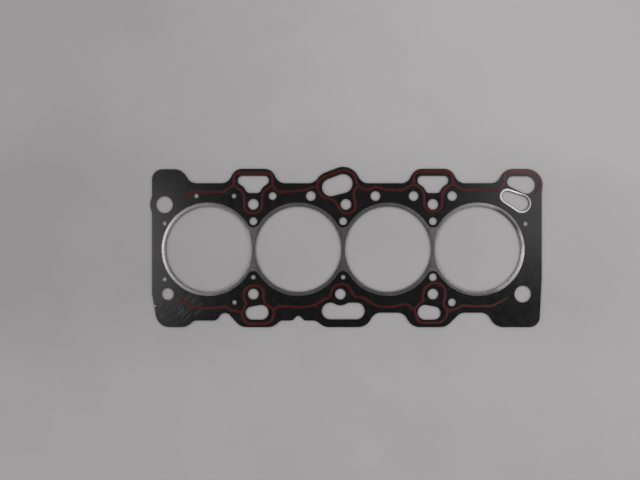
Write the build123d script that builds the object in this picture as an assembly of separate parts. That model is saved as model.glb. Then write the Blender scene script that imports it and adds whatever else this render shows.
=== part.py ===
from build123d import *
import os
from math import asin, atan2, cos, degrees, hypot, radians, sin, sqrt, tan

# Cylinder head gasket of an in-line four: a composite sheet with one folded metal armour round its
# bores, a metal eyelet in an oil passage and printed sealing beads on its head face. In millimetres.
# X runs along the cylinders, Y from the near side of the engine to its far side, Z from block to head.
# The origin lies on the block face of the armour, midway between the two middle bores.

# Thicknesses
body_thickness = 1.3
metal_thickness = 0.15
bead_height = 0.12
bead_width = 1.9

# Bores and their armour
bore_radius = 44.1
bore_bridge = 4.8  # from one opening to the next
nose_depth = 0.8  # from the clear opening to the edge of the body
flange_width = 3.3  # from the edge of the body to the edge of the flange
fold_gap = 0.3  # between neighbouring flanges on the block face
nose_bevel = 0.45

# Round holes
bolt_row_y = 46.5
bolt_hole_radius = 5.6
centre_bolt_shift = 2.9
corner_bolt_radius = 6.34
dowel_hole_radius = 8.8
coolant_row_rise = 8.6
coolant_half_spacing = 20.0
centre_coolant_half_spacing = 33.4
coolant_hole_radius = 5.1
throttled_hole_radius = 4.1
metering_hole_radius = 2.4
bridge_hole_gap = 2.5  # between a bridge hole and the armour

# Passages
window_half_width = 16.1
window_height = 17.9
window_rise = 3.05  # above the coolant row
window_moat = 8.3  # kept from the rim of a coolant hole to the window
window_radius = 4.5
eyelet_flange_width = 2.3
eyelet_nose_depth = 0.5
centre_slot_radius = 8.72
centre_slot_rise = 8.75  # from the bolt row to the slot
centre_slot_moat = 6.0  # kept from the rim of the bolt hole to the slot
centre_slot_fillet = 6.0

# Outer edge, as levels beyond the bolt rows, reaches beyond the end bores and corner radii
far_rail_rise = 21.8
end_land_rise = 36.3
near_land_drop = 34.1
near_left_rail_drop = 27.3
near_right_rail_drop = 19.15
scallop_drop = 19.5
notch_depth = 4.75
left_reach = 58.2
right_reach = 65.95
window_rim = 7.15
passage_rim = 7.3
dowel_rim = 5.85
corner_radius = 10.6
land_radius = 14.3
foot_radius = 11.1
scallop_radius = 6.6
notch_radius = 3.9

# Slopes of the far side's flanks, in degrees from X, and the lean of the sides of tab and ear from Y
ear_flank = 60
boss_flank = 65.5
centre_left_flank = 50.8
centre_right_flank = 62
tab_lean = 17
ear_lean = 10

# Stations along X
bore_pitch = 2 * bore_radius + bore_bridge
west, east = -bore_pitch, bore_pitch
left_end, right_end = -1.5 * bore_pitch, 1.5 * bore_pitch
bore_centres = [(x, 0) for x in (left_end, west / 2, east / 2, right_end)]

# Levels along Y
coolant_row_y = bolt_row_y + coolant_row_rise
window_bottom_y = coolant_row_y + window_rise
window_top_y = window_bottom_y + window_height
far_rail_y = bolt_row_y + far_rail_rise
end_land_y = bolt_row_y + end_land_rise
near_land_y = -bolt_row_y - near_land_drop
near_left_rail_y = -bolt_row_y - near_left_rail_drop
near_right_rail_y = -bolt_row_y - near_right_rail_drop

# Levels along Z
body_bottom_z = metal_thickness
body_top_z = body_bottom_z + body_thickness
overall_thickness = body_top_z + metal_thickness

# The armour's outline runs round each bridge hole at one distance, and touches the bores' flanges there.
body_bore_radius = bore_radius + nose_depth
flange_radius = body_bore_radius + flange_width
bridge_hole_radius = throttled_hole_radius
web_radius = bridge_hole_radius + bridge_hole_gap
bridge_hole_y = sqrt((flange_radius + web_radius) ** 2 - (bore_pitch / 2) ** 2)

# Passages with two round ends: centre and radius of each end
tilted_passage = ((-12.75, bolt_row_y + 17.5), 9.15, (0, bolt_row_y + 21.6), 9.85)
ear_passage = ((right_end + 36.0, bolt_row_y + 23.3), 5.9, (right_end + 50.3, bolt_row_y + 20.0), 9.2)
eyelet_passage = ((right_end + 30.0, bolt_row_y + 8.3), 5.45, (right_end + 45.0, bolt_row_y + 0.9), 7.6)
west_drain = ((west - 1.2, -bolt_row_y - 19.65), 6.85, (west + 8.15, -bolt_row_y - 18.8), 7.7)
east_drain = ((east - 8.15, -bolt_row_y - 18.8), 7.7, (east + 1.2, -bolt_row_y - 19.65), 6.85)
centre_slot_y = -bolt_row_y - centre_slot_rise - centre_slot_radius
centre_slot = ((-13.4, centre_slot_y), centre_slot_radius, (13.7, centre_slot_y), centre_slot_radius)
left_dowel = (left_end - 45.55, bolt_row_y - 0.4)


# ---- outlines ----


def disc(centre, radius):
    return Pos(*centre) * Circle(radius)


def discs(centres, radius):
    return Sketch() + [disc(centre, radius) for centre in centres]


# Slope of the tangent that runs along the left of two circles, from the first to the second.
def belt_slope(start, start_radius, end, end_radius):
    run, rise = end[0] - start[0], end[1] - start[1]
    return atan2(rise, run) + asin((end_radius - start_radius) / hypot(run, rise))


# Slot with a round end of its own size at each of two centres, let out by grow.
def tapered_slot(start, start_radius, end, end_radius, grow=0):
    near, far = start_radius + grow, end_radius + grow
    left = belt_slope(start, near, end, far)
    right = -belt_slope((start[0], -start[1]), near, (end[0], -end[1]), far)
    start_left = Vector(*start) + near * Vector(-sin(left), cos(left))
    start_right = Vector(*start) + near * Vector(sin(right), -cos(right))
    end_left = Vector(*end) + far * Vector(-sin(left), cos(left))
    end_right = Vector(*end) + far * Vector(sin(right), -cos(right))
    along = (Vector(*end) - Vector(*start)).normalized()
    edges = [
        Line(start_left, end_left),
        ThreePointArc(end_left, Vector(*end) + far * along, end_right),
        Line(end_right, start_right),
        ThreePointArc(start_right, Vector(*start) - near * along, start_left),
    ]
    return make_face(edges)


# Corner of an outline that turns right about a circle, from one slope in degrees to the next.
def corner_about(centre, radius, slope_in, slope_out):
    middle = radians((slope_in + slope_out) / 2)
    reach = radius / cos(radians((slope_in - slope_out) / 2))
    return (centre[0] - reach * sin(middle), centre[1] + reach * cos(middle), radius)


# Where a line of one slope through a corner meets a level.
def foot_at(corner, slope, level, radius):
    return (corner[0] + (level - corner[1]) / tan(radians(slope)), level, radius)


# Face inside a closed run of corners, each rounded as far as its two sides allow.
def rounded_face(corners):
    points = [Vector(x, y) for x, y, radius in corners]
    sides = [points[i] - points[i - 1] for i in range(len(points))]
    following = sides[1:] + sides[:1]
    turns = [abs(here.get_signed_angle(ahead)) for here, ahead in zip(sides, following)]
    setbacks = [corner[2] * tan(radians(turn / 2)) for corner, turn in zip(corners, turns)]
    shares = []
    for i, side in enumerate(sides):
        wanted = setbacks[i - 1] + setbacks[i]
        shares.append(min(1, 0.98 * side.length / wanted) if wanted else 1)
    ahead = shares[1:] + shares[:1]
    radii = [corner[2] * min(one, two) for corner, one, two in zip(corners, shares, ahead)]
    return make_face(FilletPolyline(*points, radius=radii, close=True))


# Band of the bead's width along a run of points, mitred where it turns.
def ribbon(points, closed=False):
    run = [Vector(x, y) for x, y in points]
    left, right = [], []
    for i, point in enumerate(run):
        first, last = i == 0 and not closed, i == len(run) - 1 and not closed
        arriving = (run[1] - point if first else point - run[i - 1]).normalized()
        leaving = (point - run[i - 1] if last else run[(i + 1) % len(run)] - point).normalized()
        along = (arriving + leaving).normalized()
        side = Vector(-along.Y, along.X) * (bead_width / 2 / along.dot(leaving))
        left.append(point + side)
        right.append(point - side)
    if closed:
        edges = sorted((Polyline(*left, close=True), Polyline(*right, close=True)), key=lambda e: e.length)
        return make_face(edges[1]) - make_face(edges[0])
    return make_face(Polyline(*left, *reversed(right), close=True))


# ---- outer edge of the body, clockwise as seen from the head ----


def left_edge_corners():
    edge = left_end - left_reach
    tab_radius = dowel_hole_radius + dowel_rim
    tab_half_height = 8.6
    tab = corner_about(left_dowel, tab_radius, 90 + tab_lean, 90 - tab_lean)
    return [
        (left_end - 52.0, near_land_y, land_radius),
        (edge, -bolt_row_y, 0),
        (edge, left_dowel[1] - tab_half_height, foot_radius),
        tab,
        (edge, left_dowel[1] + tab_half_height, foot_radius),
        (edge, end_land_y, corner_radius),
    ]


def far_side_corners():
    left_shoulder = (left_end - 27.2, end_land_y, land_radius)
    tilted_radius = tilted_passage[1] + passage_rim
    peak_radius = tilted_passage[3] + passage_rim
    belt = degrees(belt_slope(*tilted_passage))
    centre_shoulder = corner_about(tilted_passage[0], tilted_radius, centre_left_flank, belt)
    peak = corner_about(tilted_passage[2], peak_radius, belt, -centre_right_flank)
    return [
        left_shoulder,
        foot_at(left_shoulder, -ear_flank, far_rail_y, foot_radius),
        *window_boss_corners(west),
        foot_at(centre_shoulder, centre_left_flank, far_rail_y, foot_radius),
        centre_shoulder,
        peak,
        foot_at(peak, -centre_right_flank, far_rail_y, foot_radius),
        *window_boss_corners(east),
    ]


def window_boss_corners(station):
    boss_radius = window_radius + window_rim
    inset = window_half_width - window_radius
    pivot_y = window_top_y - window_radius
    left = corner_about((station - inset, pivot_y), boss_radius, boss_flank, 0)
    right = corner_about((station + inset, pivot_y), boss_radius, 0, -boss_flank)
    return [
        foot_at(left, boss_flank, far_rail_y, foot_radius),
        left,
        right,
        foot_at(right, -boss_flank, far_rail_y, foot_radius),
    ]


def right_edge_corners():
    edge = right_end + right_reach
    inner = corner_about(ear_passage[0], ear_passage[1] + passage_rim, ear_flank, 0)
    outer = corner_about(ear_passage[2], ear_passage[3] + passage_rim, 0, -90 - ear_lean)
    below_ear = outer[1] - (outer[0] - edge) / tan(radians(ear_lean))
    return [
        foot_at(inner, ear_flank, far_rail_y, foot_radius),
        inner,
        outer,
        (edge, below_ear, land_radius),
        (edge, 16.5 - bolt_row_y, 0),
        (edge - 2.55, near_land_y, corner_radius),
    ]


def near_side_corners():
    notch_y = near_left_rail_y + notch_depth
    scallop_y = -bolt_row_y - scallop_drop
    return [
        (right_end + 18.0, near_land_y, land_radius),
        (right_end + 9.6, near_right_rail_y, foot_radius),
        (east + 28.3, near_right_rail_y, foot_radius),
        (east + 13.3, near_land_y, land_radius),
        (east - 22.7, near_land_y, land_radius),
        (east - 29.7, near_right_rail_y, foot_radius),
        (32.7, near_right_rail_y, foot_radius),
        (23.4, near_land_y, land_radius),
        (-19.5, near_land_y, land_radius),
        (-28.0, near_left_rail_y, foot_radius),
        (west / 2 + 6.2, near_left_rail_y, notch_radius),
        (west / 2 + 1.9, notch_y, notch_radius),
        (west / 2 - 1.8, notch_y, notch_radius),
        (west / 2 - 5.8, near_left_rail_y, notch_radius),
        (west + 27.9, near_left_rail_y, scallop_radius),
        (west + 21.0, near_land_y, land_radius),
        (west - 13.2, near_land_y, land_radius),
        (west - 26.1, scallop_y, scallop_radius),
        (west - 33.0, scallop_y, scallop_radius),
        (west - 37.9, near_left_rail_y, scallop_radius),
        (left_end - 15.2, near_left_rail_y, scallop_radius),
        (left_end - 21.9, near_land_y, land_radius),
    ]


# ---- openings through the body ----


def round_holes():
    coolant = [
        ((left_end - 12.5, coolant_row_y), metering_hole_radius),
        ((west - coolant_half_spacing, coolant_row_y), metering_hole_radius),
        ((west + coolant_half_spacing, coolant_row_y), throttled_hole_radius),
        ((-centre_coolant_half_spacing, coolant_row_y), coolant_hole_radius),
        ((centre_coolant_half_spacing, coolant_row_y), coolant_hole_radius),
        ((east - coolant_half_spacing, coolant_row_y), coolant_hole_radius),
        ((east + coolant_half_spacing, coolant_row_y), coolant_hole_radius),
        ((west - 19.5, -coolant_row_y), metering_hole_radius),
        ((east + 19.7, -coolant_row_y), throttled_hole_radius),
        ((left_end - 45.5, bolt_row_y - 19.8), metering_hole_radius),
        ((left_end - 45.5, 15.3 - bolt_row_y), metering_hole_radius),
        ((right_end + 49.5, bolt_row_y - 20.2), metering_hole_radius),
    ]
    bridges = [((x, bridge_hole_y), bridge_hole_radius) for x in (west, 0, east)]
    bridges += [((x, -bridge_hole_y), metering_hole_radius) for x in (west, 0)]
    bridges += [((east, -bridge_hole_y), bridge_hole_radius)]
    bolts = [((x, y), bolt_hole_radius) for x in (west, east) for y in (-bolt_row_y, bolt_row_y)]
    bolts += [((centre_bolt_shift, bolt_row_y), bolt_hole_radius)]
    bolts += [((-centre_bolt_shift, -bolt_row_y), bolt_hole_radius)]
    bolts += [((left_end - 42.1, -bolt_row_y), corner_bolt_radius)]
    dowels = [(left_dowel, dowel_hole_radius)]
    dowels += [((right_end + bore_pitch / 2, -bolt_row_y), dowel_hole_radius)]
    return [disc(centre, radius) for centre, radius in coolant + bridges + bolts + dowels]


# Window under a boss: its lower corners are scooped away round the coolant holes beside it.
def window(station):
    middle_y = window_bottom_y + window_height / 2
    frame = Pos(station, middle_y) * Rectangle(2 * window_half_width, window_height)
    beside = [(station + side * coolant_half_spacing, coolant_row_y) for side in (-1, 1)]
    moat_radius = coolant_hole_radius + window_moat
    scooped = frame - discs(beside, moat_radius)
    lean = asin((coolant_half_spacing - window_half_width) / moat_radius)
    side = window_top_y - coolant_row_y - moat_radius * cos(lean)
    largest_radius = 0.98 * side / (1 + tan(radians(45) - lean / 2))
    return fillet(scooped.vertices(), min(window_radius, largest_radius))


# Slot of the near side, scooped away round the centre bolt.
def scooped_centre_slot():
    bolt = (-centre_bolt_shift, -bolt_row_y)
    moat_radius = bolt_hole_radius + centre_slot_moat
    slot = tapered_slot(*centre_slot) - disc(bolt, moat_radius)
    shoulders = [v for v in slot.vertices() if abs(hypot(v.X - bolt[0], v.Y - bolt[1]) - moat_radius) < 0.01]
    return fillet(shoulders, centre_slot_fillet)


def passages():
    slots = [tapered_slot(*ends) for ends in (tilted_passage, ear_passage, west_drain, east_drain)]
    return slots + [window(west), window(east), scooped_centre_slot()]


# ---- pieces ----


def gasket_body():
    outline = rounded_face(
        left_edge_corners() + far_side_corners() + right_edge_corners() + near_side_corners()
    )
    bores = [disc(centre, body_bore_radius) for centre in bore_centres]
    eyelet_seat = tapered_slot(*eyelet_passage, grow=eyelet_nose_depth)
    sheet = outline - round_holes() - passages() - bores - eyelet_seat
    return Pos(0, 0, body_bottom_z) * extrude(sheet, body_thickness)


# Metal folded through an opening: a flange on each face, joined by a bevelled nose inside the body's edge.
def folded_metal(head_flange, block_flange, seat, opening):
    fold = extrude(seat - opening, overall_thickness)
    fold += extrude(block_flange - opening, metal_thickness)
    fold += Pos(0, 0, body_top_z) * extrude(head_flange - opening, metal_thickness)
    levels = fold.edges().filter_by(Plane.XY).group_by(Axis.Z)
    rims = []
    for edge in levels[0] + levels[-1]:
        middle = edge @ 0.5
        if opening.distance_to(Vertex(middle.X, middle.Y, 0)) < nose_bevel / 2:
            rims.append(edge)
    return chamfer(rims, nose_bevel)


# One sheet spans the head face; each bore's fold ends in a flange of its own on the block face.
def combustion_armour():
    flanges = discs(bore_centres, flange_radius)
    notches = [v for v in flanges.vertices() for x in (west, 0, east) if abs(v.X - x) < fold_gap]
    head_flange = fillet(notches, web_radius)
    gaps = [Pos(x, 0) * Rectangle(fold_gap, 2 * flange_radius) for x in (west, 0, east)]
    openings = discs(bore_centres, bore_radius)
    return folded_metal(head_flange, flanges - gaps, discs(bore_centres, body_bore_radius), openings)


def oil_eyelet():
    flange = tapered_slot(*eyelet_passage, grow=eyelet_flange_width)
    seat = tapered_slot(*eyelet_passage, grow=eyelet_nose_depth)
    return folded_metal(flange, flange, seat, tapered_slot(*eyelet_passage))


# Bead that circles a window and the bolt hole below it, about a station.
def keyhole_loop(station, rise=0):
    bolt_side = bolt_hole_radius + 3.35
    right = [
        (3.0, bolt_row_y - bolt_side),
        (6.7, bolt_row_y - 6.8),
        (bolt_side, bolt_row_y - 3.0),
        (9.5, coolant_row_y - 0.6),
        (12.2, coolant_row_y + 5.4),
        (20.2, window_bottom_y + 8.1),
        (19.7, window_top_y - 0.6),
        (15.0, window_top_y + 2.7),
    ]
    left = [(-x, y) for x, y in reversed(right)]
    return [(station + x, y + rise) for x, y in right + left]


def far_bead():
    row = bolt_row_y
    joint = 20.2
    joint_y = window_bottom_y + 8.1
    east_rise = 1.7  # the east loop is printed this much farther out
    lead_in = [
        (left_end - 31.0, row + 5.9),
        (left_end - 26.5, row + 7.4),
        (left_end - 21.8, row + 8.9),
        (left_end - 17.3, row + 12.8),
        (west - 30.5, row + 12.9),
        (west - 26.0, row + 16.2),
        (west - joint, joint_y),
    ]
    west_run = [
        (west + joint, joint_y),
        (west + 23.6, row + 14.7),
        (west + 28.6, row + 12.4),
        (west + 39.0, row + 13.4),
        (-40.6, row + 14.4),
        (-33.5, row + 17.1),
        (-26.3, row + 18.1),
    ]
    centre_loop = [
        (-26.3, row + 18.1),
        (-26.0, row + 23.1),
        (-22.4, row + 26.8),
        (-17.4, row + 29.5),
        (-3.4, row + 34.4),
        (1.6, row + 35.4),
        (7.3, row + 33.3),
        (12.0, row + 29.1),
        (15.3, row + 19.2),
        (12.0, row + 15.2),
        (11.0, row + 8.5),
        (12.3, row + 1.9),
        (12.2, row - 4.6),
        (9.3, row - 7.6),
        (2.0, row - 9.4),
        (-1.6, row - 7.6),
        (-4.8, row - 2.1),
        (-7.6, row + 1.9),
        (-12.8, row + 5.4),
        (-19.4, row + 6.9),
        (-23.6, row + 10.6),
    ]
    east_run = [
        (15.3, row + 19.2),
        (20.6, row + 15.9),
        (26.0, row + 15.1),
        (32.6, row + 17.5),
        (38.0, row + 17.1),
        (44.6, row + 15.2),
        (east - 32.5, row + 14.4),
        (east - 27.2, row + 17.2),
        (east - joint, joint_y + east_rise),
    ]
    ear_run = [
        (east + joint, joint_y + east_rise),
        (east + 26.0, row + 17.6),
        (east + 30.6, row + 14.9),
        (right_end + 20.0, row + 14.5),
        (right_end + 25.6, row + 19.4),
        (right_end + 27.8, row + 23.5),
        (right_end + 27.9, row + 29.8),
        (right_end + 31.0, row + 33.0),
        (right_end + 34.6, row + 33.8),
        (right_end + 54.0, row + 33.6),
        (right_end + 61.3, row + 30.6),
        (right_end + 64.5, row + 24.5),
        (right_end + 63.5, row + 19.1),
        (right_end + 58.5, row + 10.0),
    ]
    runs = [ribbon(run) for run in (lead_in, west_run, east_run, ear_run)]
    loops = [keyhole_loop(west), centre_loop, keyhole_loop(east, east_rise)]
    return Sketch() + runs + [ribbon(loop, closed=True) for loop in loops]


def near_bead():
    row = -bolt_row_y
    lead_in = [
        (left_end - 33.2, row - 4.5),
        (left_end - 27.2, row - 6.6),
        (left_end - 21.8, row - 9.8),
        (left_end - 13.9, row - 13.1),
        (left_end - 4.5, row - 14.5),
        (left_end + 6.0, row - 14.5),
        (west - 28.5, row - 13.1),
        (west - 23.3, row - 16.6),
        (west - 15.3, row - 17.8),
        (west - 11.0, row - 19.7),
    ]
    west_loop = [
        (west - 11.0, row - 19.7),
        (west - 7.3, row - 10.4),
        (west - 9.9, row - 2.4),
        (west - 9.2, row + 2.2),
        (west - 6.7, row + 6.0),
        (west - 2.0, row + 8.5),
        (west + 3.5, row + 8.9),
        (west + 8.1, row + 6.8),
        (west + 10.6, row + 2.8),
        (west + 11.0, row - 3.8),
        (west + 13.2, row - 9.8),
        (west + 18.6, row - 13.8),
        (west + 21.2, row - 16.4),
        (west + 21.2, row - 21.6),
        (west + 19.0, row - 27.0),
        (west + 12.6, row - 30.5),
        (west - 4.7, row - 30.5),
        (west - 9.3, row - 27.0),
    ]
    middle_run = [
        (west + 21.2, row - 16.4),
        (west + 25.8, row - 13.2),
        (west + 32.5, row - 12.5),
        (-40.6, row - 13.5),
        (-28.7, row - 11.1),
        (-20.7, row - 5.8),
        (-14.2, row - 2.5),
        (-11.5, row + 4.1),
        (-8.1, row + 8.2),
        (-1.5, row + 10.4),
        (2.2, row + 10.0),
        (6.0, row + 7.5),
        (8.7, row + 2.1),
        (12.0, row - 2.2),
        (19.3, row - 3.3),
        (26.0, row - 7.2),
        (32.5, row - 11.2),
        (40.5, row - 13.1),
        (east - 40.6, row - 12.9),
        (east - 32.6, row - 11.1),
        (east - 26.0, row - 11.2),
        (east - 19.3, row - 17.1),
    ]
    east_loop = [
        (east - 19.3, row - 17.1),
        (east - 15.4, row - 11.2),
        (east - 10.7, row - 6.5),
        (east - 10.7, row - 1.1),
        (east - 8.7, row + 5.5),
        (east - 4.0, row + 9.8),
        (east + 0.6, row + 11.3),
        (east + 8.6, row + 9.2),
        (east + 12.0, row + 4.1),
        (east + 12.0, row - 4.6),
        (east + 10.6, row - 10.0),
        (east + 14.6, row - 17.5),
        (east + 12.2, row - 25.0),
        (east + 8.4, row - 28.4),
        (east + 3.0, row - 29.6),
        (east - 11.3, row - 29.6),
        (east - 16.0, row - 26.6),
    ]
    lead_out = [
        (east + 14.6, row - 17.5),
        (east + 24.4, row - 14.7),
        (east + 30.4, row - 11.7),
        (right_end - 2.5, row - 12.6),
        (right_end + 13.5, row - 12.1),
        (right_end + 21.5, row - 8.5),
        (right_end + 31.1, row - 3.1),
    ]
    runs = [ribbon(run) for run in (lead_in, middle_run, lead_out)]
    return Sketch() + runs + [ribbon(loop, closed=True) for loop in (west_loop, east_loop)]


def printed_bead(route):
    return Pos(0, 0, body_top_z) * extrude(route, bead_height)


pieces = {
    "gasket_body": gasket_body(),
    "combustion_armour": combustion_armour(),
    "oil_eyelet": oil_eyelet(),
    "far_side_bead": printed_bead(far_bead()),
    "near_side_bead": printed_bead(near_bead()),
}

os.makedirs("parts", exist_ok=True)
for name, shape in pieces.items():
    export_step(shape, f"parts/{name}.step")
    print(name, round(shape.volume, 1), "mm3")
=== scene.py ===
import bmesh
import bpy
from math import acos, atan2, copysign, cos, hypot, pi, radians, sin, sqrt
from mathutils import Matrix


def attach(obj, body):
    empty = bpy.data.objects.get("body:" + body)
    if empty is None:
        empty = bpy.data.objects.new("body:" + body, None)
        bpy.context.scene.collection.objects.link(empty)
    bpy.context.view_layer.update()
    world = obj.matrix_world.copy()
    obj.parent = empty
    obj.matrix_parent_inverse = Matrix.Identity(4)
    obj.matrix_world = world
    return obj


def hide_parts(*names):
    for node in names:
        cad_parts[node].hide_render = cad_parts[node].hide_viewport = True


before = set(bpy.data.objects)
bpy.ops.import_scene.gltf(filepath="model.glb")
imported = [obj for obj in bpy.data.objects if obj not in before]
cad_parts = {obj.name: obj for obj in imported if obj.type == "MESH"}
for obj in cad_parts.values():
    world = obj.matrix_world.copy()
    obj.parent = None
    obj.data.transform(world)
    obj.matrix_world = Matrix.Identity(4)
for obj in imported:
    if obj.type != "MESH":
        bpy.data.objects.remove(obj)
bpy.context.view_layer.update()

# Head gasket of an in-line four, lying on its block face. Lengths are in metres unless a note says mm

# levels and stations that several pieces share
gasket = {
    "thickness": 0.0016,
    "facingTop": 0.00145,
    "metal": 0.00015,  # the sheet that the armour and the eyelet are folded from
    "bores": (-0.1395, -0.0465, 0.0465, 0.1395),
    "pitch": 0.093,
}


# shader helpers: a source is another node's socket or a plain value
def feed(tree, socket, source):
    if isinstance(source, bpy.types.NodeSocket):
        tree.links.new(source, socket)
    else:
        socket.default_value = source


def addNode(tree, kind, feeds=None, **settings):
    node = tree.nodes.new("ShaderNode" + kind)
    for name, value in settings.items():
        setattr(node, name, value)
    for key, source in (feeds or {}).items():
        feed(tree, node.inputs[key], source)
    return node


def calculate(tree, operation, *sources, clamp=False):
    node = addNode(tree, "Math", dict(enumerate(sources)), operation=operation, use_clamp=clamp)
    return node.outputs[0]


def calculateVector(tree, operation, *sources):
    node = addNode(tree, "VectorMath", dict(enumerate(sources)), operation=operation)
    return node.outputs["Value" if operation == "LENGTH" else "Vector"]


def remap(tree, source, fromMin, fromMax, toMin=0.0, toMax=1.0, smooth=True):
    feeds = {"Value": source, "From Min": fromMin, "From Max": fromMax, "To Min": toMin, "To Max": toMax}
    kind = "SMOOTHSTEP" if smooth else "LINEAR"
    return addNode(tree, "MapRange", feeds, interpolation_type=kind).outputs[0]


def blend(tree, factor, first, second):
    return addNode(tree, "Mix", {0: factor, 6: first, 7: second}, data_type="RGBA").outputs[2]


def tint(tree, colour, mask, share, tone):
    # lays a share of another tone over a colour
    return blend(tree, calculate(tree, "MULTIPLY", mask, share), colour, tone)


def noise(tree, position, scale, detail=3.0, roughness=0.5):
    feeds = {"Vector": position, "Scale": scale, "Detail": detail, "Roughness": roughness}
    return addNode(tree, "TexNoise", feeds).outputs["Fac"]


def axes(tree, vector):
    return addNode(tree, "SeparateXYZ", {0: vector}).outputs


def upward(tree):
    # how far the surface faces up, from -1 to 1
    return axes(tree, addNode(tree, "NewGeometry").outputs["Normal"])["Z"]


def addBump(tree, shader, height, strength, depth):
    bump = addNode(tree, "Bump", {"Strength": strength, "Distance": depth, "Height": height})
    feed(tree, shader.inputs["Normal"], bump.outputs[0])


def newGroup(name, inputs, outputs):
    tree = bpy.data.node_groups.new(name, "ShaderNodeTree")
    for label, (kind, value) in inputs.items():
        socket = tree.interface.new_socket(label, in_out="INPUT", socket_type="NodeSocket" + kind)
        if value is not None:
            socket.default_value = value
    for label, kind in outputs.items():
        tree.interface.new_socket(label, in_out="OUTPUT", socket_type="NodeSocket" + kind)
    return tree, tree.nodes.new("NodeGroupInput").outputs, tree.nodes.new("NodeGroupOutput").inputs


def useGroup(tree, group, feeds):
    return addNode(tree, "Group", feeds, node_tree=group).outputs


def spotMask(tree, position, centre, reach, core, turn=0.0):
    feeds = {"Position": position, "Centre": centre, "Turn": turn, "Reach": reach, "Core": core}
    return useGroup(tree, softSpot, feeds)["Mask"]


def newMaterial(name, **shaderValues):
    material = bpy.data.materials.new(name)
    material.use_nodes = True
    tree = material.node_tree
    shader = tree.nodes["Principled BSDF"]
    for label, value in shaderValues.items():
        shader.inputs[label.replace("_", " ")].default_value = value
    position = addNode(tree, "TexCoord").outputs["Object"]
    return material, tree, shader, position


# effects that several finishes share
fibreLook = {
    "along": (0.35, 1.0, 1.0),  # one set of fibres is drawn out along X
    "across": (1.0, 0.3, 1.0),  # and one across it, at this turn
    "turn": 0.9,
    "fibreShare": 0.45,
    "mottleShare": 0.75,
    "height": (0.35, 0.8),
    "shade": (0.45, 0.85),
}

marksLook = {
    "turns": (0.5, 2.2),  # the two ways that hairlines run
    "stretch": (16.0, 1.0, 1.0),
    "scratch": (0.62, 0.75),
    "smudge": (0.35, 0.7),
}

ringsLook = {
    "cells": (-2.0, 1.0),  # the first and the last bore, counted from the middle
    "spokeRadius": 0.048,
}


def fibreGrainGroup():
    # pressed fibre sheet: short crossing fibres over a soft mottle
    inputs = {"Position": ("Vector", None), "Fibres": ("Float", 1500.0), "Mottle": ("Float", 200.0)}
    tree, entry, result = newGroup("fibreGrain", inputs, {"Shade": "Float", "Height": "Float"})
    along = calculateVector(tree, "MULTIPLY", entry["Position"], fibreLook["along"])
    feeds = {"Vector": entry["Position"], "Rotation": (0.0, 0.0, fibreLook["turn"])}
    turned = addNode(tree, "Mapping", feeds).outputs[0]
    across = calculateVector(tree, "MULTIPLY", turned, fibreLook["across"])
    first = noise(tree, along, entry["Fibres"], detail=2.0, roughness=0.6)
    second = noise(tree, across, entry["Fibres"], detail=2.0, roughness=0.6)
    fibres = calculate(tree, "MAXIMUM", first, second)
    feed(tree, result["Height"], remap(tree, fibres, *fibreLook["height"]))
    mottle = noise(tree, entry["Position"], entry["Mottle"], detail=4.0, roughness=0.6)
    mottle = calculate(tree, "MULTIPLY", mottle, fibreLook["mottleShare"])
    shade = calculate(tree, "MULTIPLY_ADD", fibres, fibreLook["fibreShare"], mottle)
    feed(tree, result["Shade"], remap(tree, shade, *fibreLook["shade"]))
    return tree


def softSpotGroup():
    # 1 inside an oval, fading to 0 at its edge
    inputs = {
        "Position": ("Vector", None),
        "Centre": ("Vector", (0.0, 0.0, 0.0)),
        "Turn": ("Float", 0.0),
        "Reach": ("Vector", (0.01, 0.01, 1.0)),
        "Core": ("Float", 0.3),
    }
    tree, entry, result = newGroup("softSpot", inputs, {"Mask": "Float"})
    away = calculateVector(tree, "SUBTRACT", entry["Position"], entry["Centre"])
    feeds = {"Vector": away, "Angle": entry["Turn"]}
    turned = addNode(tree, "VectorRotate", feeds, rotation_type="Z_AXIS").outputs[0]
    distance = calculateVector(tree, "LENGTH", calculateVector(tree, "DIVIDE", turned, entry["Reach"]))
    feed(tree, result["Mask"], remap(tree, distance, 1.0, entry["Core"]))
    return tree


def steelMarksGroup():
    # hairline scratches in two directions, and smudges from handling
    inputs = {"Position": ("Vector", None), "Hairlines": ("Float", 1200.0), "Smudges": ("Float", 90.0)}
    tree, entry, result = newGroup("steelMarks", inputs, {"Scratch": "Float", "Smudge": "Float"})
    lines = []
    for turn in marksLook["turns"]:
        feeds = {"Vector": entry["Position"], "Rotation": (0.0, 0.0, turn), "Scale": marksLook["stretch"]}
        turned = addNode(tree, "Mapping", feeds, vector_type="TEXTURE").outputs[0]
        line = noise(tree, turned, entry["Hairlines"], detail=2.0)
        lines.append(remap(tree, line, *marksLook["scratch"]))
    feed(tree, result["Scratch"], calculate(tree, "MAXIMUM", *lines))
    smudge = noise(tree, entry["Position"], entry["Smudges"], roughness=0.6)
    feed(tree, result["Smudge"], remap(tree, smudge, *marksLook["smudge"]))
    return tree


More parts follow.
